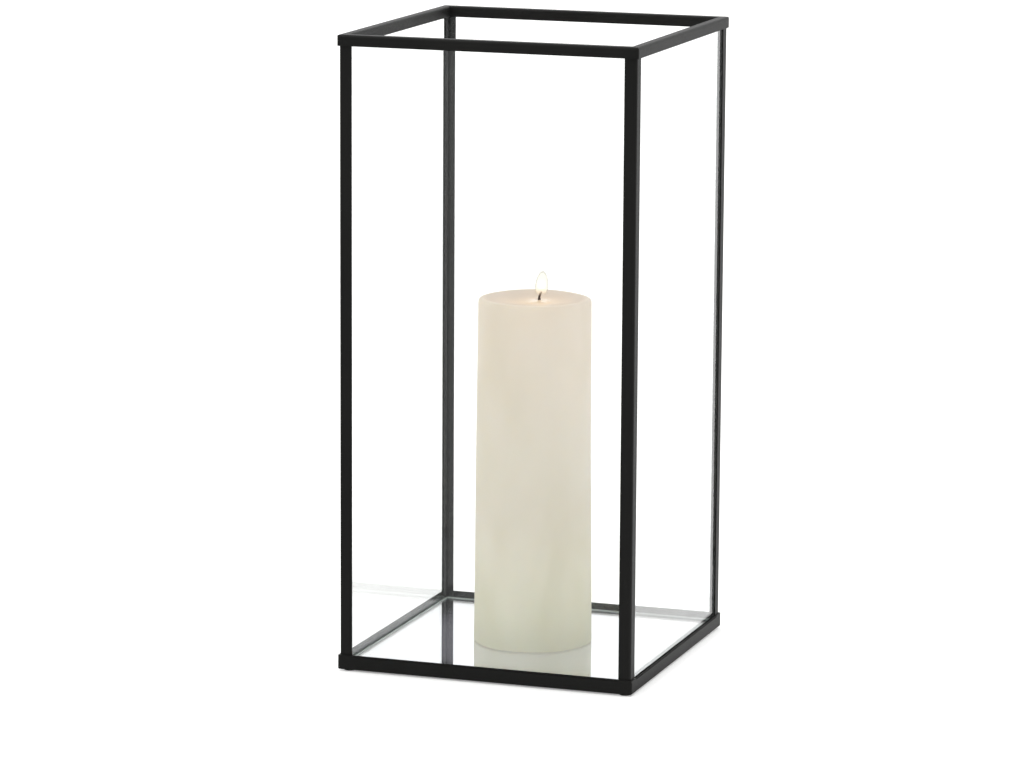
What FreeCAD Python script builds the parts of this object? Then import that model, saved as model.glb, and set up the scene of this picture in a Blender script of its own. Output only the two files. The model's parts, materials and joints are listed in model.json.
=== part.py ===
import FreeCAD, Part
import math
import os

# Open-topped candle lantern: a folded steel frame, four glass panes, a mirror floor and a pillar candle.
# X runs to the right, Y to the back and Z up. The origin is on the ground under the middle of the base.
# All sizes are in millimetres.

# Steel frame, over its outer faces
frame_width = 200.0
frame_depth = 200.0
frame_height = 413.0

# Rails: an inverted channel round the top and an angle round the base
rail_sheet = 1.2
rail_inner_bend = 0.3
channel_leg = 7.2
upstand_height = 9.5
flange_width = 11.0
weld_round = 1.2

# Corner posts: angles whose legs stand inside the rails
post_sheet = 1.0
post_inner_bend = 0.5
post_leg = 8.2

# Glass panes, held between the post legs, the channel above and the floor plates below
glass_thickness = 3.0
glass_seam = 0.4
pane_clearance = 0.15
pane_butt_gap = 0.3
pane_head_room = 2.0

# Floor: a mirror lying on a backing board, inside the panes
board_thickness = 2.0
board_corner_round = 2.0
mirror_thickness = 3.0
mirror_seam = 0.5
floor_clearance = 0.4

# Felt pads under the corners of the base
pad_diameter = 8.0
pad_thickness = 1.0
pad_edge_bevel = 0.3

# Pillar candle, drawn in towards its top, with a shallow melt pool
candle_height = 228.6
candle_base_diameter = 78.0
candle_top_diameter = 74.2
candle_base_round = 1.0
candle_top_round = 2.5
pool_diameter = 58.0
pool_floor_diameter = 26.0
pool_depth = 1.8
pool_round = 50.0

# Wick, leaning to the right where it burns, and the metal foot that it stands in
wick_diameter = 2.2
wick_offset = 3.0
wick_rise = 1.2
wick_curl_radius = 8.0
wick_curl_angle = 45.0
foot_diameter = 18.0
foot_sheet = 0.4
foot_neck_height = 5.0
cast_clearance = 0.1

# Sizes that follow from the ones above
rail_outer_bend = rail_inner_bend + rail_sheet
post_outer_bend = post_inner_bend + post_sheet
post_inset = rail_sheet
pane_inset = post_inset + post_sheet + pane_clearance
channel_width = pane_inset + glass_thickness + pane_clearance + rail_sheet
floor_inset = pane_inset + glass_thickness + floor_clearance
pad_inset = (rail_outer_bend + flange_width) / 2
frame_bottom = pad_thickness
frame_top = frame_bottom + frame_height
flange_top = frame_bottom + rail_sheet
post_foot = flange_top + rail_inner_bend
post_head = frame_top - rail_sheet - rail_inner_bend
pane_head = frame_top - rail_sheet - pane_head_room
mirror_foot = flange_top + board_thickness
mirror_top = mirror_foot + mirror_thickness
pool_level = candle_height - pool_depth

vector = FreeCAD.Vector
origin = vector(0, 0, 0)
upwards = vector(0, 0, 1)
full_turn = 360

# Each side's turn from the front, the middle of its outer face on the ground, and its length
sides = {
    "front": (0, vector(0, -frame_depth / 2, 0), frame_width),
    "right": (90, vector(frame_width / 2, 0, 0), frame_depth),
    "back": (180, vector(0, frame_depth / 2, 0), frame_width),
    "left": (270, vector(-frame_width / 2, 0, 0), frame_depth),
}

# Each corner's turn from the front left, and the way it lies from the middle
corners = {
    "front_left": (0, -1, -1),
    "front_right": (90, 1, -1),
    "back_right": (180, 1, 1),
    "back_left": (270, -1, 1),
}


def rounded_face(points):
    # Flat face inside straight sides; each point comes with the radius that rounds it, or 0
    count = len(points)
    bends = []
    for index in range(count):
        point, radius = points[index]
        to_last = (points[index - 1][0] - point).normalize()
        to_next = (points[(index + 1) % count][0] - point).normalize()
        half_angle = to_last.getAngle(to_next) / 2
        trim = radius / math.tan(half_angle)
        inwards = (to_last + to_next).normalize()
        middle = point + inwards * (radius / math.sin(half_angle) - radius)
        bends.append((point + to_last * trim, middle, point + to_next * trim, radius))
    edges = []
    for index in range(count):
        start, middle, end, radius = bends[index]
        next_start = bends[(index + 1) % count][0]
        if radius > 0:
            edges.append(Part.Arc(start, middle, end).toShape())
        edges.append(Part.LineSegment(end, next_start).toShape())
    return Part.Face(Part.Wire(edges))


def section_point(inward, height):
    # Point of a rail's section: distance in from the outer face, and height
    return vector(0, inward, height)


def channel_section():
    # Inverted channel that caps the posts and the panes
    inner_face = channel_width - rail_sheet
    low = frame_top - channel_leg
    web = frame_top - rail_sheet
    return rounded_face([
        (section_point(0, low), 0),
        (section_point(0, frame_top), rail_outer_bend),
        (section_point(channel_width, frame_top), rail_outer_bend),
        (section_point(channel_width, low), 0),
        (section_point(inner_face, low), 0),
        (section_point(inner_face, web), rail_inner_bend),
        (section_point(rail_sheet, web), rail_inner_bend),
        (section_point(rail_sheet, low), 0),
    ])


def angle_section():
    # Angle whose upstand hides the feet of the posts and panes, and whose flange carries them
    high = frame_bottom + upstand_height
    return rounded_face([
        (section_point(0, frame_bottom), rail_outer_bend),
        (section_point(flange_width, frame_bottom), 0),
        (section_point(flange_width, flange_top), 0),
        (section_point(rail_sheet, flange_top), rail_inner_bend),
        (section_point(rail_sheet, high), 0),
        (section_point(0, high), 0),
    ])


def mitre_wedge(length, reach):
    # Prism over a rail's plan: full length outside, cut at 45 degrees towards the inside
    half = length / 2
    plan = Part.makePolygon([
        vector(-half, 0, frame_bottom),
        vector(half, 0, frame_bottom),
        vector(half - reach, reach, frame_bottom),
        vector(reach - half, reach, frame_bottom),
        vector(-half, 0, frame_bottom),
    ])
    return Part.Face(plan).extrude(upwards * frame_height)


def frame_envelope():
    # Prism over the whole frame's plan, with the vertical corners ground round after welding
    half_width = frame_width / 2
    half_depth = frame_depth / 2
    plan = rounded_face([
        (vector(-half_width, -half_depth, frame_bottom), weld_round),
        (vector(half_width, -half_depth, frame_bottom), weld_round),
        (vector(half_width, half_depth, frame_bottom), weld_round),
        (vector(-half_width, half_depth, frame_bottom), weld_round),
    ])
    return plan.extrude(upwards * frame_height)


def mitred_rail(section, reach, side):
    # A section drawn along one side of the frame, with mitred ends
    turn, middle, length = sides[side]
    bar = section.extrude(vector(length, 0, 0))
    bar.translate(vector(-length / 2, 0, 0))
    rail = bar.common(mitre_wedge(length, reach))
    rail.rotate(origin, upwards, turn)
    rail.translate(middle)
    return rail.common(frame_envelope())


def corner_post(corner):
    # Angle that stands in the corner of both rails, its bend outwards
    turn, way_x, way_y = corners[corner]
    section = rounded_face([
        (vector(0, 0, 0), post_outer_bend),
        (vector(post_leg, 0, 0), 0),
        (vector(post_leg, post_sheet, 0), 0),
        (vector(post_sheet, post_sheet, 0), post_inner_bend),
        (vector(post_sheet, post_leg, 0), 0),
        (vector(0, post_leg, 0), 0),
    ])
    post = section.extrude(upwards * (post_head - post_foot))
    post.rotate(origin, upwards, turn)
    place_x = way_x * (frame_width / 2 - post_inset)
    place_y = way_y * (frame_depth / 2 - post_inset)
    post.translate(vector(place_x, place_y, post_foot))
    return post


def seamed_plate(size_x, size_y, size_z, seam):
    # Plate of glass with its sharp edges ground off, centred over the origin
    plate = Part.makeBox(size_x, size_y, size_z, vector(-size_x / 2, -size_y / 2, 0))
    return plate.makeChamfer(seam, plate.Edges)


def glass_pane(side):
    # Front and back panes run from post to post, and the side panes stand between those two
    turn, middle, length = sides[side]
    end_inset = pane_inset
    if side in ("left", "right"):
        end_inset = pane_inset + glass_thickness + pane_butt_gap
    pane = seamed_plate(length - 2 * end_inset, glass_thickness, pane_head - flange_top, glass_seam)
    pane.translate(vector(0, pane_inset + glass_thickness / 2, flange_top))
    pane.rotate(origin, upwards, turn)
    pane.translate(middle)
    return pane


def backing_board():
    # Board that carries the mirror across the open middle of the base
    size_x = frame_width - 2 * floor_inset
    size_y = frame_depth - 2 * floor_inset
    board = Part.makeBox(size_x, size_y, board_thickness, vector(-size_x / 2, -size_y / 2, flange_top))
    upright_edges = [edge for edge in board.Edges if edge.BoundBox.ZLength > board_thickness / 2]
    return board.makeFillet(board_corner_round, upright_edges)


def mirror_plate():
    # Mirror that keeps the feet of the panes against the posts
    plate = seamed_plate(
        frame_width - 2 * floor_inset, frame_depth - 2 * floor_inset, mirror_thickness, mirror_seam)
    plate.translate(upwards * mirror_foot)
    return plate


def felt_pad(corner):
    # Disc across the mitre of two flanges, its lower edge trimmed at a slant
    _, way_x, way_y = corners[corner]
    pad = Part.makeCylinder(pad_diameter / 2, pad_thickness)
    low_edges = [edge for edge in pad.Edges if edge.BoundBox.ZMax < pad_thickness / 2]
    pad = pad.makeChamfer(pad_edge_bevel, low_edges)
    pad.translate(vector(way_x * (frame_width / 2 - pad_inset), way_y * (frame_depth / 2 - pad_inset), 0))
    return pad


def turned(points, axis_x):
    # Solid of revolution about an upright axis, from points of radius and height with their rounds
    profile = rounded_face([(vector(radius, 0, height), bend) for radius, height, bend in points])
    solid = profile.revolve(origin, upwards, full_turn)
    solid.translate(vector(axis_x, 0, mirror_top))
    return solid


def wick_bore(clearance):
    # Upright room for the wick, from the floor to the melt pool
    base = vector(wick_offset, 0, mirror_top)
    return Part.makeCylinder(wick_diameter / 2 + clearance, candle_height, base)


def foot_blank(clearance):
    # Disc with a crimped neck round the wick, without its bore
    neck_radius = wick_diameter / 2 + cast_clearance + foot_sheet + clearance
    disc_top = foot_sheet + clearance
    return turned([
        (0, 0, 0),
        (foot_diameter / 2 + clearance, 0, 0),
        (foot_diameter / 2 + clearance, disc_top, 0),
        (neck_radius, disc_top, 0),
        (neck_radius, foot_neck_height + clearance, 0),
        (0, foot_neck_height + clearance, 0),
    ], wick_offset)


def wick_foot():
    return foot_blank(0).cut(wick_bore(cast_clearance))


def candle_wax():
    # Cast body with soft edges, hollowed a little by burning, and open for the wick and its foot
    body = turned([
        (0, 0, 0),
        (candle_base_diameter / 2, 0, candle_base_round),
        (candle_top_diameter / 2, candle_height, candle_top_round),
        (pool_diameter / 2, candle_height, pool_round),
        (pool_floor_diameter / 2, pool_level, pool_round),
        (0, pool_level, 0),
    ], 0)
    return body.cut(wick_bore(cast_clearance)).cut(foot_blank(cast_clearance))


def wick():
    # Cord that rises straight through the wax and curls over to the right above it
    foot = vector(wick_offset, 0, mirror_top + foot_sheet)
    bend = vector(wick_offset, 0, mirror_top + pool_level + wick_rise)
    angle = math.radians(wick_curl_angle)
    centre = bend + vector(wick_curl_radius, 0, 0)
    middle = centre + vector(-math.cos(angle / 2), 0, math.sin(angle / 2)) * wick_curl_radius
    tip = centre + vector(-math.cos(angle), 0, math.sin(angle)) * wick_curl_radius
    path = Part.Wire([Part.LineSegment(foot, bend).toShape(), Part.Arc(bend, middle, tip).toShape()])
    ring = Part.Wire(Part.makeCircle(wick_diameter / 2, foot, upwards))
    return path.makePipeShell([ring], True, False)


nodes = {}
for side in sides:
    nodes["top_rail_" + side] = mitred_rail(channel_section(), channel_width, side)
    nodes["base_rail_" + side] = mitred_rail(angle_section(), flange_width, side)
    nodes["glass_pane_" + side] = glass_pane(side)
for corner in corners:
    nodes["corner_post_" + corner] = corner_post(corner)
    nodes["felt_pad_" + corner] = felt_pad(corner)
nodes["backing_board"] = backing_board()
nodes["mirror_plate"] = mirror_plate()
nodes["candle_wax"] = candle_wax()
nodes["wick"] = wick()
nodes["wick_sustainer"] = wick_foot()

os.makedirs("parts", exist_ok=True)
for name, shape in nodes.items():
    shape.exportStep("parts/" + name + ".step")
    print(f"{name}: {len(shape.Solids)} solid, valid {shape.isValid()}, {shape.Volume:.1f} mm3")
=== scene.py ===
import json
import math
import bpy
import numpy as np
from mathutils import Matrix, Vector

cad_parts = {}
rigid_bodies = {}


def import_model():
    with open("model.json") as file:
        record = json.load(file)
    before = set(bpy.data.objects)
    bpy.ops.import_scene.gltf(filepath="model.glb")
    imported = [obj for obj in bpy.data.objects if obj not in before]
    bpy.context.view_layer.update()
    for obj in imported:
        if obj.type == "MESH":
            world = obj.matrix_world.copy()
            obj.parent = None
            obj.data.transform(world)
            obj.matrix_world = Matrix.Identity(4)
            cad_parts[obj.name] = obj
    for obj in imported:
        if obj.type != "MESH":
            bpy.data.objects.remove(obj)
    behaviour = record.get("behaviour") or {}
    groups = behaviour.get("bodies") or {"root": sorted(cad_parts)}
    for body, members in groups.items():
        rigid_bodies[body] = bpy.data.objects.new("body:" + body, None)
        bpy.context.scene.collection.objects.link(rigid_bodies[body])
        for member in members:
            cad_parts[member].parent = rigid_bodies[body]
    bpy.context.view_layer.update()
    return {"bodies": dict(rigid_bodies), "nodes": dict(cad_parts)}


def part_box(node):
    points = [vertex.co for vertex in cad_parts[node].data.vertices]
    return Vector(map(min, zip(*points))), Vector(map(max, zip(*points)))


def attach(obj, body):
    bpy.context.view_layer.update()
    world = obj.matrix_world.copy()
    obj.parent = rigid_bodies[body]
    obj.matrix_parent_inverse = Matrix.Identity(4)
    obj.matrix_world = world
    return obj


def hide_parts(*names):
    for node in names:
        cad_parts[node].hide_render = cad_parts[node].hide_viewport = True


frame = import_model()
sideNames = ["front", "right", "back", "left"]
cornerNames = ["front_left", "front_right", "back_right", "back_left"]


# Mesh helpers

def gridFaces(rows, columns, closeRows):
    # Quads between neighbouring rings of a grid that is closed along each ring
    row = np.arange(rows if closeRows else rows - 1)[:, None]
    column = np.arange(columns)[None, :]
    nextRow = (row + 1) % rows
    nextColumn = (column + 1) % columns
    corners = [row * columns + column, row * columns + nextColumn,
               nextRow * columns + nextColumn, nextRow * columns + column]
    return np.stack([np.broadcast_to(corner, (len(row), columns)) for corner in corners], -1).reshape(-1, 4)


def fanFaces(ring, pole, columns):
    # Triangles from one ring of the grid to the single point that closes it
    column = np.arange(columns)
    near = ring * columns + column
    after = ring * columns + (column + 1) % columns
    return np.stack([near, after, np.full(columns, pole)], -1)


def tubeFaces(rows, columns):
    # Sides of a tube, and the fans that close its ends on two points listed after the grid
    pole = rows * columns
    ends = [fanFaces(0, pole, columns)[:, ::-1], fanFaces(rows - 1, pole + 1, columns)]
    return [gridFaces(rows, columns, False), np.concatenate(ends)]


def fullTurn(steps):
    return np.arange(steps) / steps * 2 * math.pi


def enclosedVolume(points, faces):
    # Sum of the tetrahedra from the origin to each triangle of a fan over each face
    first = points[faces[:, 0]]
    total = 0.0
    for corner in range(1, faces.shape[1] - 1):
        second = points[faces[:, corner]]
        third = points[faces[:, corner + 1]]
        total += np.einsum("ij,ij->i", first, np.cross(second, third)).sum() / 6
    return total


def addPiece(name, points, faceSets, smoothAngle, finishes=(0, 0)):
    # One closed mesh; finishes gives each face set its place in the piece's list of materials
    volume = sum(enclosedVolume(points, faces) for faces in faceSets)
    turned = [faces if volume > 0 else faces[:, ::-1] for faces in faceSets]
    mesh = bpy.data.meshes.new(name)
    mesh.from_pydata(points.tolist(), [], [face for faces in turned for face in faces.tolist()])
    slots = np.concatenate([np.full(len(faces), finish) for faces, finish in zip(faceSets, finishes)])
    mesh.polygons.foreach_set("material_index", slots.astype(np.int32))
    mesh.polygons.foreach_set("use_smooth", np.ones(len(slots), bool))
    mesh.set_sharp_from_angle(angle=math.radians(smoothAngle))
    mesh.update()
    piece = bpy.data.objects.new(name, mesh)
    bpy.context.scene.collection.objects.link(piece)
    print("piece:", name, len(points), "points", len(slots), "faces")
    return piece


def finishPiece(piece, body, materials, replaced=()):
    # Puts the piece on its body, with its finish, in place of the nodes that it stands for
    for material in materials:
        piece.data.materials.append(material)
    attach(piece, body)
    if replaced:
        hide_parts(*replaced)


# Shader helpers

noLight = (0.0, 0.0, 0.0, 1.0)


def addNode(tree, kind, **values):
    node = tree.nodes.new("ShaderNode" + kind)
    for name, value in values.items():
        setattr(node, name, value)
    return node


def setInputs(node, values):
    for name, value in values.items():
        node.inputs[name].default_value = value
    return node


def joinNodes(tree, source, output, target, entry):
    tree.links.new(source.outputs[output], target.inputs[entry])


def startMaterial(name):
    # Material with one Principled shader and the piece's own coordinates
    material = bpy.data.materials.new(name)
    material.use_nodes = True
    tree = material.node_tree
    shader = tree.nodes["Principled BSDF"]
    place = addNode(tree, "TexCoord")
    return material, tree, shader, place


def startGroup(name, entries, exits):
    # Shader group with named sockets; entries are (kind, name, value) and exits are (kind, name)
    group = bpy.data.node_groups.new(name, "ShaderNodeTree")
    for kind, label, value in entries:
        socket = group.interface.new_socket(name=label, in_out="INPUT", socket_type="NodeSocket" + kind)
        if value is not None:
            socket.default_value = value
    for kind, label in exits:
        group.interface.new_socket(name=label, in_out="OUTPUT", socket_type="NodeSocket" + kind)
    return group, group.nodes.new("NodeGroupInput"), group.nodes.new("NodeGroupOutput")


def useGroup(tree, group, place, values):
    node = tree.nodes.new("ShaderNodeGroup")
    node.node_tree = group
    joinNodes(tree, place, "Object", node, "Vector")
    return setInputs(node, values)


def buildGrain():
    # Fine grain: coarse noise plus half as much noise at three times the scale
    group, entry, outlet = startGroup(
        "fineGrain",
        [("Vector", "Vector", None), ("Float", "Scale", 900.0), ("Float", "Low", 0.0),
         ("Float", "High", 1.0)],
        [("Float", "Grain"), ("Float", "Value")])
    coarse = setInputs(addNode(group, "TexNoise"), {"Detail": 2.0, "Roughness": 0.6})
    triple = setInputs(addNode(group, "Math", operation="MULTIPLY"), {1: 3.0})
    fine = setInputs(addNode(group, "TexNoise"), {"Detail": 1.0, "Roughness": 0.5})
    half = setInputs(addNode(group, "Math", operation="MULTIPLY_ADD"), {1: 0.5, 2: -0.25})
    total = addNode(group, "Math", operation="ADD")
    spread = addNode(group, "MapRange")
    for noise in (coarse, fine):
        joinNodes(group, entry, "Vector", noise, "Vector")
    joinNodes(group, entry, "Scale", coarse, "Scale")
    joinNodes(group, entry, "Scale", triple, 0)
    joinNodes(group, triple, 0, fine, "Scale")
    joinNodes(group, fine, 0, half, 0)
    joinNodes(group, coarse, 0, total, 0)
    joinNodes(group, half, 0, total, 1)
    joinNodes(group, total, 0, spread, "Value")
    joinNodes(group, entry, "Low", spread, "To Min")
    joinNodes(group, entry, "High", spread, "To Max")
    joinNodes(group, total, 0, outlet, "Grain")
    joinNodes(group, spread, 0, outlet, "Value")
    return group


def buildMottle():
    # Soft patches: noise pulled out by the stretch along each axis, sharpened and laid between two colours
    group, entry, outlet = startGroup(
        "softMottle",
        [("Vector", "Vector", None), ("Vector", "Stretch", (30.0, 30.0, 30.0)),
         ("Vector", "Turn", (0.0, 0.0, 0.0)), ("Float", "Soft Edge", 0.3),
         ("Color", "Dark", (0.5, 0.5, 0.5, 1.0)), ("Color", "Light", (1.0, 1.0, 1.0, 1.0))],
        [("Color", "Color")])
    turn = addNode(group, "Mapping")
    noise = setInputs(addNode(group, "TexNoise"), {
        "Scale": 1.0, "Detail": 3.0, "Roughness": 0.5, "Distortion": 0.4})
    low = setInputs(addNode(group, "Math", operation="SUBTRACT"), {0: 0.5})
    high = setInputs(addNode(group, "Math", operation="ADD"), {0: 0.5})
    spread = addNode(group, "MapRange", interpolation_type="SMOOTHSTEP")
    mix = addNode(group, "Mix", data_type="RGBA")
    joinNodes(group, entry, "Vector", turn, "Vector")
    joinNodes(group, entry, "Turn", turn, "Rotation")
    joinNodes(group, entry, "Stretch", turn, "Scale")
    joinNodes(group, turn, 0, noise, "Vector")
    for edge in (low, high):
        joinNodes(group, entry, "Soft Edge", edge, 1)
    joinNodes(group, noise, 0, spread, "Value")
    joinNodes(group, low, 0, spread, "From Min")
    joinNodes(group, high, 0, spread, "From Max")
    joinNodes(group, spread, 0, mix, "Factor")
    group.links.new(entry.outputs["Dark"], mix.inputs[6])
    group.links.new(entry.outputs["Light"], mix.inputs[7])
    group.links.new(mix.outputs[2], outlet.inputs["Color"])
    return group


def buildRise():
    # Mask from 0 at one height to 1 at another, along Z
    group, entry, outlet = startGroup(
        "heightRise",
        [("Vector", "Vector", None), ("Float", "Foot", 0.0), ("Float", "Head", 1.0)],
        [("Float", "Mask")])
    split = addNode(group, "SeparateXYZ")
    rise = addNode(group, "MapRange", interpolation_type="SMOOTHSTEP")
    joinNodes(group, entry, "Vector", split, 0)
    joinNodes(group, split, "Z", rise, "Value")
    joinNodes(group, entry, "Foot", rise, "From Min")
    joinNodes(group, entry, "Head", rise, "From Max")
    joinNodes(group, rise, 0, outlet, "Mask")
    return group


def buildNearness():
    # Mask of 1 inside a core round a point, falling to 0 at the reach
    group, entry, outlet = startGroup(
        "nearness",
        [("Vector", "Vector", None), ("Vector", "Point", (0.0, 0.0, 0.0)), ("Float", "Core", 0.0),
         ("Float", "Reach", 0.01)],
        [("Float", "Mask")])
    away = addNode(group, "VectorMath", operation="DISTANCE")
    fall = setInputs(addNode(group, "MapRange", interpolation_type="SMOOTHSTEP"), {
        "To Min": 1.0, "To Max": 0.0})
    joinNodes(group, entry, "Vector", away, 0)
    joinNodes(group, entry, "Point", away, 1)
    joinNodes(group, away, "Value", fall, "Value")
    joinNodes(group, entry, "Core", fall, "From Min")
    joinNodes(group, entry, "Reach", fall, "From Max")
    joinNodes(group, fall, 0, outlet, "Mask")
    return group


grainGroup = buildGrain()
mottleGroup = buildMottle()
riseGroup = buildRise()
nearGroup = buildNearness()
print("shader groups:", len(bpy.data.node_groups))


def addBump(tree, shader, source, output, depth, strength=1.0):
    bump = setInputs(addNode(tree, "Bump"), {"Strength": strength, "Distance": depth})
    joinNodes(tree, source, output, bump, "Height")
    joinNodes(tree, bump, 0, shader, "Normal")


def blendColours(tree, mask, low, high):
    # Mix by a group's mask; each end is a colour, or the output of another node
    mix = addNode(tree, "Mix", data_type="RGBA")
    joinNodes(tree, mask, "Mask", mix, "Factor")
    for socket, end in ((mix.inputs[6], low), (mix.inputs[7], high)):
        if isinstance(end, tuple):
            socket.default_value = end
        else:
            tree.links.new(end, socket)
    return mix.outputs[2]


def layGrain(tree, shader, place, finish):
    # Grain in the roughness and, as a bump, in the normals
    grain = useGroup(tree, grainGroup, place, {
        "Scale": finish["grainScale"], "Low": finish["roughness"][0], "High": finish["roughness"][1]})
    joinNodes(tree, grain, "Value", shader, "Roughness")
    addBump(tree, shader, grain, "Grain", finish["grainDepth"])


def grainedMaterial(name, finish):
    # Patches of two shades under a fine grain
    material, tree, shader, place = startMaterial(name)
    mottle = useGroup(tree, mottleGroup, place, {
        "Stretch": finish["patch"], "Soft Edge": finish["softEdge"], "Dark": finish["dark"],
        "Light": finish["light"]})
    joinNodes(tree, mottle, "Color", shader, "Base Color")
    layGrain(tree, shader, place, finish)
    setInputs(shader, {"Metallic": finish["metallic"], "Specular IOR Level": finish["shine"]})
    return material


# Steel frame: matte black powder coat with a fine pebbled grain

powderCoat = {
    "dark": (0.0055, 0.0055, 0.005, 1.0),
    "light": (0.008, 0.008, 0.0072, 1.0),
    "patch": (26.0, 26.0, 9.0),
    "softEdge": 0.3,
    "grainScale": 1400.0,  # per metre, so about 0.7 mm
    "grainDepth": 0.00014,
    "roughness": (0.38, 0.62),
    "metallic": 0.0,
    "shine": 0.2,
}


# Panes: clear float glass, faintly green through its edges

paneGlass = {
    "ior": 1.52,
    "greenTint": (0.30, 0.74, 0.52, 1.0),
    "density": 4.0,
    "smearScale": 9.0,
    "smearDepth": 0.00002,
    "waviness": 0.3,
}


def letLightThrough(tree, surface):
    # Lamps and diffuse light pass straight through, and everything else meets the glass itself
    output = tree.nodes["Material Output"]
    path = addNode(tree, "LightPath")
    for ray in ("Is Diffuse Ray", "Is Shadow Ray"):
        opening = addNode(tree, "BsdfTransparent")
        mix = addNode(tree, "MixShader")
        joinNodes(tree, path, ray, mix, 0)
        tree.links.new(surface, mix.inputs[1])
        joinNodes(tree, opening, 0, mix, 2)
        surface = mix.outputs[0]
    tree.links.new(surface, output.inputs["Surface"])


def clearGlassMaterial(name, waviness):
    # Clear glass with the slow waves of drawn sheet
    material, tree, shader, place = startMaterial(name)
    setInputs(shader, {"Base Color": (1.0, 1.0, 1.0, 1.0), "Roughness": 0.0, "IOR": paneGlass["ior"],
                       "Transmission Weight": 1.0})
    smear = useGroup(tree, grainGroup, place, {"Scale": paneGlass["smearScale"]})
    addBump(tree, shader, smear, "Grain", paneGlass["smearDepth"], waviness)
    letLightThrough(tree, shader.outputs[0])
    return material


def paneGlassMaterial():
    material = clearGlassMaterial("clearPaneGlass", paneGlass["waviness"])
    tree = material.node_tree
    inside = setInputs(addNode(tree, "VolumeAbsorption"), {
        "Color": paneGlass["greenTint"], "Density": paneGlass["density"]})
    joinNodes(tree, inside, 0, tree.nodes["Material Output"], "Volume")
    return material


# Hidden pieces of the base

hardboard = {
    "dark": (0.13, 0.07, 0.035, 1.0),
    "light": (0.27, 0.16, 0.085, 1.0),
    "patch": (420.0, 420.0, 700.0),
    "softEdge": 0.22,
    "grainScale": 2200.0,
    "grainDepth": 0.00012,
    "roughness": (0.62, 0.9),
    "metallic": 0.0,
    "shine": 0.4,
}
felt = {
    "dark": (0.006, 0.006, 0.006, 1.0),
    "light": (0.018, 0.0175, 0.017, 1.0),
    "patch": (1500.0, 1500.0, 900.0),
    "softEdge": 0.22,
    "grainScale": 4200.0,
    "grainDepth": 0.00025,
    "roughness": (0.85, 1.0),
    "metallic": 0.0,
    "shine": 0.03,
}
tinplate = {
    "dark": (0.50, 0.50, 0.48, 1.0),
    "light": (0.72, 0.72, 0.70, 1.0),
    "patch": (260.0, 2600.0, 260.0),  # drawn out along one axis, as brushing leaves it
    "softEdge": 0.3,
    "grainScale": 3000.0,
    "grainDepth": 0.00003,
    "roughness": (0.24, 0.45),
    "metallic": 1.0,
    "shine": 0.5,
}


def dressNodes(names, material):
    for name in names:
        node = frame["nodes"][name]
        node.data.materials.clear()
        node.data.materials.append(material)


coat = grainedMaterial("blackPowderCoat", powderCoat)
dressNodes(["top_rail_" + side for side in sideNames], coat)
dressNodes(["base_rail_" + side for side in sideNames], coat)
dressNodes(["corner_post_" + corner for corner in cornerNames], coat)
dressNodes(["glass_pane_" + side for side in sideNames], paneGlassMaterial())
blackFelt = grainedMaterial("blackFelt", felt)
dressNodes(["felt_pad_" + corner for corner in cornerNames], blackFelt)
dressNodes(["backing_board"], grainedMaterial("brownHardboard", hardboard))
dressNodes(["wick_sustainer"], grainedMaterial("tinnedSteel", tinplate))
print("carried-over nodes dressed")


# Painted shadow: strips of black felt pressed in between each pane and its base rail, lapping the rail's top
# edge, put where the gap there shows only shade

shadowStrip = {
    "railSheet": 0.0012,
    "slack": 0.00004,  # between the strip and what it touches
    "endGap": 0.0003,
    "foot": 0.0035,
    "lapFoot": 0.0095,
    "head": 0.01054,
    "edgeRound": 0.0003,
    "unevenness": 0.00003,
    "lengthSteps": 140,
}


def shadowStripPoints():
    # Hooked section (y, z) carried along the front rail, its upper points rising and falling in slow waves,
    # then turned by quarters to the other three sides
    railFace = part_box("base_rail_front")[0].y
    outer = railFace - shadowStrip["slack"]
    step = railFace + shadowStrip["railSheet"] + shadowStrip["slack"]
    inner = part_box("glass_pane_front")[0].y - shadowStrip["slack"]
    foot, lapFoot, head, bend = (shadowStrip[name] for name in ("foot", "lapFoot", "head", "edgeRound"))
    section = np.array([[outer, lapFoot], [outer, head - bend], [outer + bend, head], [inner - bend, head],
                        [inner, head - bend], [inner, foot], [step, foot], [step, lapFoot]])
    reach = -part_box("corner_post_front_left")[1].x - shadowStrip["endGap"]
    along = np.linspace(-reach, reach, shadowStrip["lengthSteps"])[:, None]
    wave = shadowStrip["unevenness"] * (0.6 * np.cos(95 * along + 0.8) + 0.4 * np.cos(223 * along + 2.1))
    height = section[:, 1] + wave * (section[:, 1] > foot)
    strip = np.stack([along + 0 * height, section[:, 0] + 0 * height, height], -1)
    middle = [(step + inner) / 2, (lapFoot + head) / 2]
    front = np.concatenate([strip.reshape(-1, 3), [[-reach, *middle], [reach, *middle]]])
    right = np.stack([-front[:, 1], front[:, 0], front[:, 2]], 1)
    halfTurn = [-1, -1, 1]
    return [front, right, front * halfTurn, right * halfTurn], len(along), len(section)


def buildShadowStrip():
    strips, rows, columns = shadowStripPoints()
    starts = np.arange(len(strips))[:, None, None] * len(strips[0])
    sets = [(faces[None] + starts).reshape(-1, faces.shape[1]) for faces in tubeFaces(rows, columns)]
    # Black strips that paint the shade in the gap between pane and rail
    piece = addPiece("painted_shadow_strips", np.concatenate(strips), sets, 30)
    finishPiece(piece, "lantern", [blackFelt])


buildShadowStrip()


# Mirror floor: a glass plate, silvered below, with hand-seamed edges of uneven width

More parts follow.
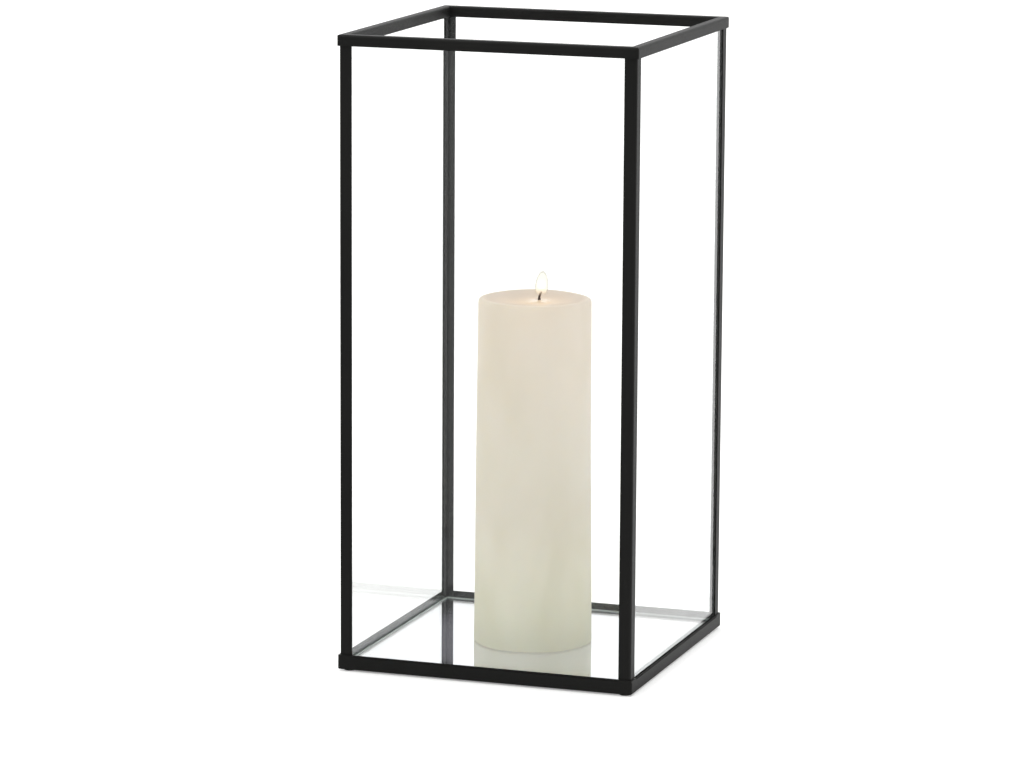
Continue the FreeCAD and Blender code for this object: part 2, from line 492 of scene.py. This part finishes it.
mirrorFloor = {
    "seam": 0.0006,
    "unevenness": 0.00025,
    "stepsPerSide": 96,
    "lift": 0.00005,  # keeps the silver clear of the board under it
    "silver": (0.92, 0.935, 0.95, 1.0),
    "dulledSilver": (0.89, 0.905, 0.92, 1.0),
    "silverPatch": (15.0, 15.0, 15.0),
    "waviness": 0.2,
    "paintedWaxGlow": (0.10, 0.098, 0.113, 1.0),  # painted glow on the silver, standing for the wax's pale light round the candle's foot
    "paintedWaxGlowReach": (0.06, 0.115),
}
groundEdge = {
    "green": (0.80, 0.90, 0.86, 1.0),
    "clearness": 0.5,
    "grainScale": 5000.0,
    "grainDepth": 0.0001,
    "roughness": (0.45, 0.75),
}


def groundEdgeMaterial():
    material, tree, shader, place = startMaterial("groundGlassEdge")
    setInputs(shader, {"Base Color": groundEdge["green"], "IOR": paneGlass["ior"],
                       "Transmission Weight": groundEdge["clearness"]})
    layGrain(tree, shader, place, groundEdge)
    return material


def silverMaterial():
    material, tree, shader, place = startMaterial("mirrorSilver")
    mottle = useGroup(tree, mottleGroup, place, {
        "Stretch": mirrorFloor["silverPatch"], "Dark": mirrorFloor["dulledSilver"],
        "Light": mirrorFloor["silver"]})
    joinNodes(tree, mottle, "Color", shader, "Base Color")
    # Painted glow: emission on the silver round the candle's foot, standing for light from the wax
    core, reach = mirrorFloor["paintedWaxGlowReach"]
    near = useGroup(tree, nearGroup, place, {
        "Point": (0.0, 0.0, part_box("mirror_plate")[0].z), "Core": core, "Reach": reach})
    glowOnSilver = blendColours(tree, near, noLight, mirrorFloor["paintedWaxGlow"])
    tree.links.new(glowOnSilver, shader.inputs["Emission Color"])
    setInputs(shader, {"Metallic": 1.0, "Roughness": 0.015, "Emission Strength": 1.0})
    return material


def seamedPlatePoints(low, high):
    # Rectangle carried round the plate at each height; the seams pull it in by a width that wanders
    steps = mirrorFloor["stepsPerSide"]
    along = np.linspace(-1, 1, steps, endpoint=False)
    ones = np.ones(steps)
    unit = np.concatenate([np.stack([along, -ones], 1), np.stack([ones, along], 1),
                           np.stack([-along, ones], 1), np.stack([-ones, -along], 1)])
    centre = (np.array(low) + np.array(high)) / 2
    half = (np.array(high) - np.array(low)) / 2
    angle = fullTurn(4 * steps)
    wander = 0.5 * np.cos(37 * angle + 0.4) + 0.3 * np.cos(61 * angle + 2.0) + 0.2 * np.cos(118 * angle + 1.2)
    seam = mirrorFloor["seam"] + mirrorFloor["unevenness"] * wander
    lowSeam = mirrorFloor["seam"] + mirrorFloor["unevenness"] * np.roll(wander, 53)

    def ring(inset, height):
        flat = unit * half[:2] - np.sign(np.trunc(unit)) * np.reshape(inset, (-1, 1))
        reach = half[:2] - np.reshape(inset, (-1, 1))
        flat = np.clip(flat, -reach, reach) + centre[:2]
        return np.column_stack([flat, np.broadcast_to(height, len(unit))])

    rings = [ring(lowSeam, low[2]), ring(0.0 * seam, low[2] + lowSeam),
             ring(0.0 * seam, high[2] - seam), ring(seam, high[2])]
    poles = [[centre[0], centre[1], low[2]], [centre[0], centre[1], high[2]]]
    return np.concatenate(rings + [np.array(poles)]), len(unit)


def buildMirrorFloor():
    low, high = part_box("mirror_plate")
    low = Vector((low.x, low.y, low.z + mirrorFloor["lift"]))
    points, columns = seamedPlatePoints(low, high)
    pole = 4 * columns
    clearTop = fanFaces(3, pole + 1, columns)
    edges = gridFaces(4, columns, False)
    silverBack = fanFaces(0, pole, columns)[:, ::-1]
    piece = addPiece("mirror_floor", points, [clearTop, edges, silverBack], 20, (0, 1, 2))
    materials = [clearGlassMaterial("mirrorGlass", mirrorFloor["waviness"]), groundEdgeMaterial(),
                 silverMaterial()]
    finishPiece(piece, "lantern", materials, ["mirror_plate"])


buildMirrorFloor()


# Pillar candle: cast wax, drawn in a little to the top, with a soft shoulder and a shallow melt pool

pillar = {
    "topRadius": 0.0371,
    "baseRound": 0.0005,
    "shoulderRound": 0.0026,
    "poolRadius": 0.029,
    "poolFloorRadius": 0.011,
    "poolDepth": 0.0018,
    "creepHeight": 0.0006,  # melted wax creeps up the wick
    "creepReach": 0.0009,
    "castClearance": 0.0001,
    "lift": 0.00005,  # keeps the wax clear of the mirror under it
    "footSheet": 0.0004,
    "centredShare": 0.6,  # of the base radius; further in, the underside moves over to the wick
    "wobble": 0.00016,
    "rimWobble": 0.00022,
    "wobbleStart": (0.02, 0.035),  # from the axis, so the bore stays round
    "rimHeight": 0.008,
    "aroundSteps": 192,
    "sideRows": 96,
}
waxLow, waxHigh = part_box("candle_wax")
waxLow = Vector((waxLow.x, waxLow.y, waxLow.z + pillar["lift"]))
footLow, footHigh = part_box("wick_sustainer")
wickLow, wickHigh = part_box("wick")
wickRadius = (wickHigh.y - wickLow.y) / 2
wickAxis = (footLow.x + footHigh.x) / 2
poolLevel = waxHigh.z - pillar["poolDepth"]


def arcPoints(centre, radius, start, end, count):
    # Circle arc from one angle to the other, in degrees
    angle = np.radians(np.linspace(start, end, count))
    return np.stack([centre[0] + radius * np.cos(angle), centre[1] + radius * np.sin(angle)], 1)


def waxProfile():
    # Closed loop of radius and height: base, side, shoulder, pool, bore and foot recess;
    # with it, the share of the wick's offset that each point takes
    baseRadius = (waxHigh.x - waxLow.x) / 2
    topRadius = pillar["topRadius"]
    bore = wickRadius + pillar["castClearance"]
    recess = (footHigh.x - footLow.x) / 2 + pillar["castClearance"]
    neck = bore + pillar["footSheet"] + pillar["castClearance"]
    neckTop = footHigh.z + pillar["castClearance"]
    discTop = waxLow.z + pillar["footSheet"] + pillar["castClearance"]
    baseRound = pillar["baseRound"]
    shoulder = pillar["shoulderRound"]
    underRadii = np.linspace(recess, baseRadius - baseRound, 14)[:-1]
    under = np.stack([underRadii, np.full_like(underRadii, waxLow.z)], 1)
    foot = arcPoints((baseRadius - baseRound, waxLow.z + baseRound), baseRound, -90, 0, 10)
    share = np.linspace(0, 1, pillar["sideRows"])
    side = np.stack([baseRadius + (topRadius - baseRadius) * share,
                     waxLow.z + baseRound + (waxHigh.z - shoulder - waxLow.z - baseRound) * share], 1)[1:-1]
    brow = arcPoints((topRadius - shoulder, waxHigh.z - shoulder), shoulder, 0, 90, 14)
    radius = np.linspace(topRadius - shoulder, bore, 60)[1:]
    fall = np.clip((pillar["poolRadius"] - radius) / (pillar["poolRadius"] - pillar["poolFloorRadius"]), 0, 1)
    climb = pillar["creepHeight"] * np.exp(-(radius - bore) / pillar["creepReach"])
    pool = np.stack([radius, waxHigh.z - pillar["poolDepth"] * fall * fall * (3 - 2 * fall) + climb], 1)
    boreHeights = np.linspace(poolLevel, neckTop, 40)[1:]
    wall = np.stack([np.full_like(boreHeights, bore), boreHeights], 1)
    step = np.array([[neck, neckTop], [neck, discTop], [recess, discTop]])
    loop = np.concatenate([under, foot, side, brow, pool, wall, step])
    outside = len(loop) - len(pool) - len(wall) - len(step)
    centred = pillar["centredShare"] * baseRadius
    shift = np.ones(len(loop))
    shift[:len(under)] = np.clip((centred - underRadii) / (centred - recess), 0, 1)
    shift[len(under):outside] = 0
    shift[outside:outside + len(pool)] = np.linspace(0, 1, len(pool))
    return loop, shift


def waxPoints():
    # The profile turned about an axis that moves over to the wick, with slow waves round it
    loop, shift = waxProfile()
    radius, turn = np.meshgrid(loop[:, 0], fullTurn(pillar["aroundSteps"]), indexing="ij")
    height = np.repeat(loop[:, 1:2], pillar["aroundSteps"], 1)
    wave = (np.cos(2 * turn + 1.1 + 11 * height) + 0.6 * np.cos(3 * turn - 0.7 - 26 * height)
            + 0.35 * np.cos(5 * turn + 2.3 + 41 * height))
    start, full = pillar["wobbleStart"]
    outer = np.clip((radius - start) / (full - start), 0, 1)
    radius = radius + pillar["wobble"] * wave * outer
    top = np.clip((height - waxHigh.z) / pillar["rimHeight"] + 1, 0, 1)
    rim = np.cos(turn + 2.0) + 0.7 * np.cos(3 * turn + 0.5) + 0.4 * np.cos(4 * turn - 1.0)
    height = height + pillar["rimWobble"] * rim * top * outer
    centre = (shift * wickAxis)[:, None]
    points = np.stack([centre + radius * np.cos(turn), radius * np.sin(turn), height], -1)
    return points.reshape(-1, 3), points.shape[0], points.shape[1]


ivoryWax = {
    "paleTop": (0.705, 0.656, 0.556, 1.0),
    "darkTop": (0.637, 0.59, 0.472, 1.0),
    "meltTop": (0.55, 0.483, 0.38, 1.0),
    "topReach": (0.0305, 0.0362),  # from the middle of the top
    "paleFoot": (0.85, 0.84, 0.675, 1.0),
    "darkFoot": (0.772, 0.757, 0.57, 1.0),
    "patch": (20.0, 20.0, 9.0),
    "patchTurn": (0.3, 0.75, 0.2),
    "softEdge": 0.2,
    "footFade": (-0.005, 0.11),
    "glow": (0.19, 0.095, 0.03, 1.0),
    "glowShift": -0.013,  # painted highlight: the warm glow is moved towards the front rim of the pool
    "glowReach": 0.033,
    "bodyGlow": (0.092, 0.048, 0.05, 1.0),
    "bodyGlowReach": 0.118,
    "paintedUnderGlow": (0.145, 0.14, 0.092, 1.0),  # painted light: emission on the underside, standing for light that comes through the wax
    "paintedUnderGlowRise": 0.0009,
    "wetReach": 0.012,
    "roughness": (0.40, 0.55),
    "shine": 0.22,
    "grainScale": 700.0,
    "grainDepth": 0.00005,
    "scatter": 0.25,
    "scatterReach": 0.006,
}


def waxMaterial():
    material, tree, shader, place = startMaterial("ivoryWax")
    patch = {"Stretch": ivoryWax["patch"], "Turn": ivoryWax["patchTurn"], "Soft Edge": ivoryWax["softEdge"]}
    upper, lower = (
        useGroup(tree, mottleGroup, place, {**patch, "Dark": ivoryWax[dark], "Light": ivoryWax[pale]})
        for dark, pale in (("darkTop", "paleTop"), ("darkFoot", "paleFoot")))
    # Painted light towards the foot: the wax's colour runs from the top colours to lighter foot colours, set
    # against the shade that falls low down, with a greener tone
    fadeFoot, fadeHead = ivoryWax["footFade"]
    rise = useGroup(tree, riseGroup, place, {"Foot": fadeFoot, "Head": fadeHead})
    body = blendColours(tree, rise, lower.outputs["Color"], upper.outputs["Color"])
    core, reach = ivoryWax["topReach"]
    top = useGroup(tree, nearGroup, place, {"Point": (0.0, 0.0, waxHigh.z), "Core": core, "Reach": reach})
    tree.links.new(blendColours(tree, top, body, ivoryWax["meltTop"]), shader.inputs["Base Color"])
    # Painted glow: emission in the wax round the wick and through its body, a painted highlight at the pool's
    # front rim, and painted light on the underside, all standing for the flame's light
    wickFoot = (wickAxis, 0.0, poolLevel)
    litPool = (wickAxis, ivoryWax["glowShift"], poolLevel)
    far = useGroup(tree, nearGroup, place, {"Point": wickFoot, "Reach": ivoryWax["bodyGlowReach"]})
    warm = useGroup(tree, nearGroup, place, {"Point": litPool, "Reach": ivoryWax["glowReach"]})
    base = useGroup(tree, riseGroup, place, {"Foot": waxLow.z, "Head": waxLow.z + ivoryWax["paintedUnderGlowRise"]})
    glow = blendColours(tree, far, noLight, ivoryWax["bodyGlow"])
    glow = blendColours(tree, warm, glow, ivoryWax["glow"])
    glow = blendColours(tree, base, ivoryWax["paintedUnderGlow"], glow)
    tree.links.new(glow, shader.inputs["Emission Color"])
    wet = useGroup(tree, nearGroup, place, {"Point": wickFoot, "Reach": ivoryWax["wetReach"]})
    joinNodes(tree, wet, "Mask", shader, "Coat Weight")
    layGrain(tree, shader, place, ivoryWax)
    setInputs(shader, {"Emission Strength": 1.0, "Coat Roughness": 0.08, "Coat IOR": 1.45, "IOR": 1.44,
                       "Specular IOR Level": ivoryWax["shine"],
                       "Subsurface Weight": ivoryWax["scatter"], "Subsurface Scale": ivoryWax["scatterReach"],
                       "Subsurface Radius": (1.0, 0.75, 0.5)})
    return material


points, rows, columns = waxPoints()
waxPiece = addPiece("pillar_candle", points, [gridFaces(rows, columns, True)], 40)
finishPiece(waxPiece, "candle", [waxMaterial()], ["candle_wax"])


# Wick: braided cotton, charred and thinned where it burns

braid = {
    "rise": 0.0012,
    "curlRadius": 0.008,
    "curlAngle": 38.0,
    "strands": 4,
    "pitch": 0.0042,
    "relief": 0.07,  # of the radius
    "burntShare": 0.62,  # of the radius, at the tip
    "burntReach": 0.004,
    "crumble": 0.05,  # of the radius
    "aroundSteps": 32,
    "rowStep": 0.0004,
}


def wickPath():
    # Straight up from the foot, then an arc of a circle over to the right
    foot = wickLow.z
    bend = poolLevel + braid["rise"]
    curl = math.radians(braid["curlAngle"])
    straight = bend - foot
    length = straight + braid["curlRadius"] * curl
    run = np.linspace(0, length, int(length / braid["rowStep"]))
    turn = np.clip((run - straight) / braid["curlRadius"], 0, curl)
    x = wickAxis + braid["curlRadius"] * (1 - np.cos(turn))
    z = foot + np.minimum(run, straight) + braid["curlRadius"] * np.sin(turn)
    return run, turn, np.stack([x, 0 * x, z], 1)


def wickPoints():
    # Ring carried along the path; two sets of strands wind opposite ways, and the higher one shows
    run, turn, line = wickPath()
    along, around = np.meshgrid(run, fullTurn(braid["aroundSteps"]), indexing="ij")
    wind = along / braid["pitch"] * 2 * math.pi
    strands = braid["strands"]
    relief = np.maximum(np.cos(strands * around - wind), np.cos(strands * around + wind))
    burnt = np.clip((along - (poolLevel - wickLow.z)) / braid["burntReach"], 0, 1)
    shrink = 1 - (1 - braid["burntShare"]) * burnt
    char = braid["crumble"] * burnt * np.cos(3 * around + 900 * along) * np.cos(around - 1500 * along)
    end = np.clip((run[-1] - along) / (0.5 * wickRadius), 0, 1)
    dome = np.sqrt(np.clip(1 - (1 - end) ** 2, 0.02, 1))
    radius = wickRadius * shrink * (1 - braid["relief"] + braid["relief"] * relief + char) * dome
    across = np.stack([np.cos(turn), 0 * turn, -np.sin(turn)], 1)  # square to the path, towards the curl
    points = (line[:, None, :] + (radius * np.cos(around))[..., None] * across[:, None, :]
              + (radius * np.sin(around))[..., None] * np.array([0.0, 1.0, 0.0]))
    poles = np.stack([line[0], line[-1]])
    return np.concatenate([points.reshape(-1, 3), poles]), len(run), braid["aroundSteps"]


cottonWick = {
    "char": (0.026, 0.014, 0.008, 1.0),
    "scorch": (0.075, 0.04, 0.02, 1.0),
    "cotton": (0.62, 0.55, 0.43, 1.0),
    "wax": (0.70, 0.62, 0.48, 1.0),
    "fibre": (3000.0, 3000.0, 900.0),
    "charRise": (-0.001, 0.0012),  # from the pool
    "grainScale": 6000.0,
    "grainDepth": 0.0001,
    "roughness": (0.75, 1.0),
}


def wickMaterial():
    material, tree, shader, place = startMaterial("cottonWick")
    burnt, clean = (
        useGroup(tree, mottleGroup, place, {
            "Stretch": cottonWick["fibre"], "Dark": cottonWick[dark], "Light": cottonWick[light]})
        for dark, light in (("char", "scorch"), ("cotton", "wax")))
    foot, head = cottonWick["charRise"]
    rise = useGroup(tree, riseGroup, place, {"Foot": poolLevel + foot, "Head": poolLevel + head})
    colour = blendColours(tree, rise, clean.outputs["Color"], burnt.outputs["Color"])
    tree.links.new(colour, shader.inputs["Base Color"])
    layGrain(tree, shader, place, cottonWick)
    return material


points, rows, columns = wickPoints()
wickPiece = addPiece("braided_wick", points, tubeFaces(rows, columns), 60)
finishPiece(wickPiece, "candle", [wickMaterial()], ["wick"])


# Flame: a pale teardrop round a brighter core

flame = {
    "height": 0.0193,
    "width": 0.0086,
    "shift": 0.0012,  # from the wick's foot towards its curl
    "lean": 0.0012,
    "lift": 0.0005,  # above the pool
    "belly": 0.42,
    "coreWidth": 0.8,
    "coreFoot": 0.12,
    "coreHead": 0.93,
    "aroundSteps": 40,
    "rows": 48,
    "mantle": (1.0, 0.97, 0.82, 1.0),
    "mantleStrength": 0.8,
    "mantleDensity": 0.55,
    "core": (1.0, 0.95, 0.84, 1.0),
    "coreStrength": 1.7,
    "coreDensity": 0.9,
    "footTint": (1.0, 0.8, 0.6),
    "fade": (0.15, 0.55),  # of the height, from clear to full
    "lampPower": 0.002,
    "lampColour": (1.0, 0.72, 0.42),
    "lampSize": 0.003,
    "lampPlace": (0.0015, 0.011),  # beside the wick's foot and above the pool
}


def flamePoints(width, foot, head):
    # Drop turned about a leaning line: radius (1 - u^2.3)^0.55 above the belly, (1 - u^2.2)^0.5 below it,
    # where u runs from 0 at the belly to 1 at either end
    share = (1 - np.cos(np.linspace(0, math.pi, flame["rows"]))) / 2
    belly = flame["belly"]
    away = np.where(share > belly, (share - belly) / (1 - belly), (belly - share) / belly)
    radius = width / 2 * np.where(share > belly, (1 - away ** 2.3) ** 0.55, (1 - away ** 2.2) ** 0.5)
    angle = fullTurn(flame["aroundSteps"])
    height = flame["height"] * (foot + (head - foot) * share)
    sideways = wickAxis + flame["shift"] + flame["lean"] * (height / flame["height"]) ** 1.5
    line = np.stack([sideways, 0 * height, poolLevel + flame["lift"] + height], 1)
    ring = np.stack([np.cos(angle), np.sin(angle), 0 * angle], 1)
    points = line[1:-1, None, :] + radius[1:-1, None, None] * ring[None]
    poles = line[[0, -1]]
    return np.concatenate([points.reshape(-1, 3), poles]), len(line) - 2, len(angle)


def flameMaterial(name, colour, strength, density):
    # Glowing gas: emission with an alpha that rises from the foot of the flame
    material, tree, shader, place = startMaterial(name)
    setInputs(shader, {"Base Color": noLight, "Roughness": 1.0, "Specular IOR Level": 0.0,
                       "Emission Strength": strength})
    foot, head = (poolLevel + flame["lift"] + share * flame["height"] for share in flame["fade"])
    rise = useGroup(tree, riseGroup, place, {"Foot": foot, "Head": head})
    footColour = (*(part * tint for part, tint in zip(colour, flame["footTint"])), 1.0)
    tree.links.new(blendColours(tree, rise, footColour, colour), shader.inputs["Emission Color"])
    thin = setInputs(addNode(tree, "Math", operation="MULTIPLY"), {1: density})
    joinNodes(tree, rise, "Mask", thin, 0)
    joinNodes(tree, thin, 0, shader, "Alpha")
    return material


def buildFlame():
    parts = [("mantle", flame["width"], 0.0, 1.0),
             ("core", flame["width"] * flame["coreWidth"], flame["coreFoot"], flame["coreHead"])]
    for part, width, low, high in parts:
        points, rows, columns = flamePoints(width, low, high)
        piece = addPiece("flame_" + part, points, tubeFaces(rows, columns), 60)
        material = flameMaterial("flame_" + part + "Glow", flame[part], flame[part + "Strength"],
                                 flame[part + "Density"])
        finishPiece(piece, "candle", [material])
        piece.visible_shadow = False


def buildFlameLamp():
    lamp = bpy.data.lights.new("flameGlow", "POINT")
    lamp.energy = flame["lampPower"]
    lamp.color = flame["lampColour"]
    lamp.shadow_soft_size = flame["lampSize"]
    holder = bpy.data.objects.new("flameGlow", lamp)
    beside, above = flame["lampPlace"]
    holder.location = (wickAxis + beside, 0.0, poolLevel + above)
    holder.parent = frame["bodies"]["candle"]
    bpy.context.scene.collection.objects.link(holder)


buildFlame()
buildFlameLamp()
print("candle, wick and flame made")


# Studio: pale floor, and a soft white surround that is brighter behind and above

studio = {
    "floorReach": ((-4.0, -3.0), (4.0, 8.0)),
    "floorTone": (0.93, 0.93, 0.925, 1.0),
    "floorGlow": 0.32,
    "floorGrain": 300.0,
    "floorRoughness": (0.8, 0.95),
    "frontLevel": 0.36,
    "backLevel": 1.2,
    "sweepLevel": 1.42,
    "sweepStart": (-0.1, 0.3),  # along Y on the floor
    "besideStart": (0.1, 0.13),  # along X on the floor
    "besideStep": 0.4,  # how much further back the floor on the right seems
    "backStart": (-0.4, 0.5),  # as the depth of a direction of unit length
    "ringLevel": 1.5,
    "zenithLevel": 0.8,
    "ringStart": (0.15, 0.45),  # as the height of a direction of unit length
    "zenithStart": (0.75, 1.0),
    "sideLevels": (1.15, 0.8),  # left and right
    "shownLevel": 1.5,
}


def mapLevels(tree, span, levels, way="SMOOTHSTEP"):
    return setInputs(addNode(tree, "MapRange", interpolation_type=way), {
        "From Min": span[0], "From Max": span[1], "To Min": levels[0], "To Max": levels[1]})


def buildFloor():
    (left, front), (right, back) = studio["floorReach"]
    corners = [[left, front, 0.0], [right, front, 0.0], [right, back, 0.0], [left, back, 0.0]]
    mesh = bpy.data.meshes.new("studioFloor")
    mesh.from_pydata(corners, [], [[0, 1, 2, 3]])
    floor = bpy.data.objects.new("studioFloor", mesh)
    bpy.context.scene.collection.objects.link(floor)
    material, tree, shader, place = startMaterial("studioFloorPaint")
    smooth, rough = studio["floorRoughness"]
    grain = useGroup(tree, grainGroup, place, {"Scale": studio["floorGrain"], "Low": smooth, "High": rough})
    joinNodes(tree, grain, "Value", shader, "Roughness")
    setInputs(shader, {"Base Color": studio["floorTone"], "Specular IOR Level": 0.1,
                       "Emission Color": studio["floorTone"], "Emission Strength": studio["floorGlow"]})
    split = addNode(tree, "SeparateXYZ")
    depth = mapLevels(tree, studio["sweepStart"], (studio["frontLevel"], studio["sweepLevel"]))
    beside = mapLevels(tree, studio["besideStart"], (0.0, studio["besideStep"]), "LINEAR")
    reach = addNode(tree, "Math", operation="ADD")
    flag = addNode(tree, "Emission")  # what reflections see: dim in front, bright behind and on the right
    path = addNode(tree, "LightPath")
    mirrored = setInputs(addNode(tree, "Math", operation="GREATER_THAN"), {1: 0.5})
    mix = addNode(tree, "MixShader")
    joinNodes(tree, place, "Object", split, 0)
    joinNodes(tree, split, "X", beside, "Value")
    joinNodes(tree, split, "Y", reach, 0)
    joinNodes(tree, beside, 0, reach, 1)
    joinNodes(tree, reach, 0, depth, "Value")
    joinNodes(tree, depth, 0, flag, "Strength")
    joinNodes(tree, path, "Glossy Depth", mirrored, 0)
    joinNodes(tree, mirrored, 0, mix, 0)
    joinNodes(tree, shader, 0, mix, 1)
    joinNodes(tree, flag, 0, mix, 2)
    joinNodes(tree, mix, 0, tree.nodes["Material Output"], "Surface")
    mesh.materials.append(material)


def buildSurround():
    # Level of light by direction: dim low down in front, bright low down behind, brightest in a ring overhead
    world = bpy.data.worlds.new("studioSurround")
    bpy.context.scene.world = world
    world.use_nodes = True
    tree = world.node_tree
    sky = setInputs(tree.nodes["Background"], {"Color": (1.0, 1.0, 1.0, 1.0)})
    place = addNode(tree, "TexCoord")
    split = addNode(tree, "SeparateXYZ")
    depth = mapLevels(tree, studio["backStart"], (studio["frontLevel"], studio["backLevel"]))
    rise = mapLevels(tree, studio["ringStart"], (0.0, 1.0))
    crown = mapLevels(tree, studio["zenithStart"], (studio["ringLevel"], studio["zenithLevel"]))
    side = mapLevels(tree, (-1.0, 1.0), studio["sideLevels"], "LINEAR")
    level = addNode(tree, "Mix")
    total = addNode(tree, "Math", operation="MULTIPLY")
    path = addNode(tree, "LightPath")
    turned = addNode(tree, "Math", operation="SUBTRACT")
    seen = setInputs(addNode(tree, "Math", operation="LESS_THAN"), {1: 1.5})  # straight or through glass
    shown = setInputs(addNode(tree, "Mix"), {3: studio["shownLevel"]})
    joinNodes(tree, place, "Generated", split, 0)
    joinNodes(tree, split, "Y", depth, "Value")
    joinNodes(tree, split, "Z", rise, "Value")
    joinNodes(tree, split, "Z", crown, "Value")
    joinNodes(tree, rise, 0, level, 0)
    joinNodes(tree, depth, 0, level, 2)
    joinNodes(tree, crown, 0, level, 3)
    joinNodes(tree, path, "Ray Depth", turned, 0)
    joinNodes(tree, path, "Transmission Depth", turned, 1)
    joinNodes(tree, turned, 0, seen, 0)
    joinNodes(tree, seen, 0, shown, 0)
    joinNodes(tree, split, "X", side, "Value")
    joinNodes(tree, level, 0, total, 0)
    joinNodes(tree, side, 0, total, 1)
    joinNodes(tree, total, 0, shown, 2)
    joinNodes(tree, shown, 0, sky, "Strength")


buildFloor()
buildSurround()


# Camera: where the photograph was taken from, in metres and degrees

viewpoint = {
    "place": (0.92957, -2.75778, 0.72331),
    "yaw": 18.921,
    "pitch": 10.665,
    "roll": 0.335,
    "lens": 158.85,  # millimetres, as is the sensor
    "sensor": 36.0,
}


def buildCamera():
    # Looks along +Y, turned by the yaw about Z, tipped down by the pitch and rolled about its own axis
    yaw, pitch, roll = (math.radians(viewpoint[name]) for name in ("yaw", "pitch", "roll"))
    ahead = Vector((-math.sin(yaw) * math.cos(pitch), math.cos(yaw) * math.cos(pitch), -math.sin(pitch)))
    right = Vector((math.cos(yaw), math.sin(yaw), 0.0))
    up = right.cross(ahead)
    rolledRight = math.cos(roll) * right + math.sin(roll) * up
    rolledUp = math.cos(roll) * up - math.sin(roll) * right
    lens = bpy.data.cameras.new("studioCamera")
    lens.sensor_fit = "HORIZONTAL"
    lens.sensor_width = viewpoint["sensor"]
    lens.lens = viewpoint["lens"]
    lens.clip_end = 100.0
    camera = bpy.data.objects.new("studioCamera", lens)
    turn = Matrix((rolledRight, rolledUp, -ahead)).transposed()
    camera.matrix_world = Matrix.Translation(viewpoint["place"]) @ turn.to_4x4()
    bpy.context.scene.collection.objects.link(camera)
    bpy.context.scene.camera = camera


buildCamera()
bpy.context.scene.view_settings.view_transform = "Standard"
print("studio and camera set")
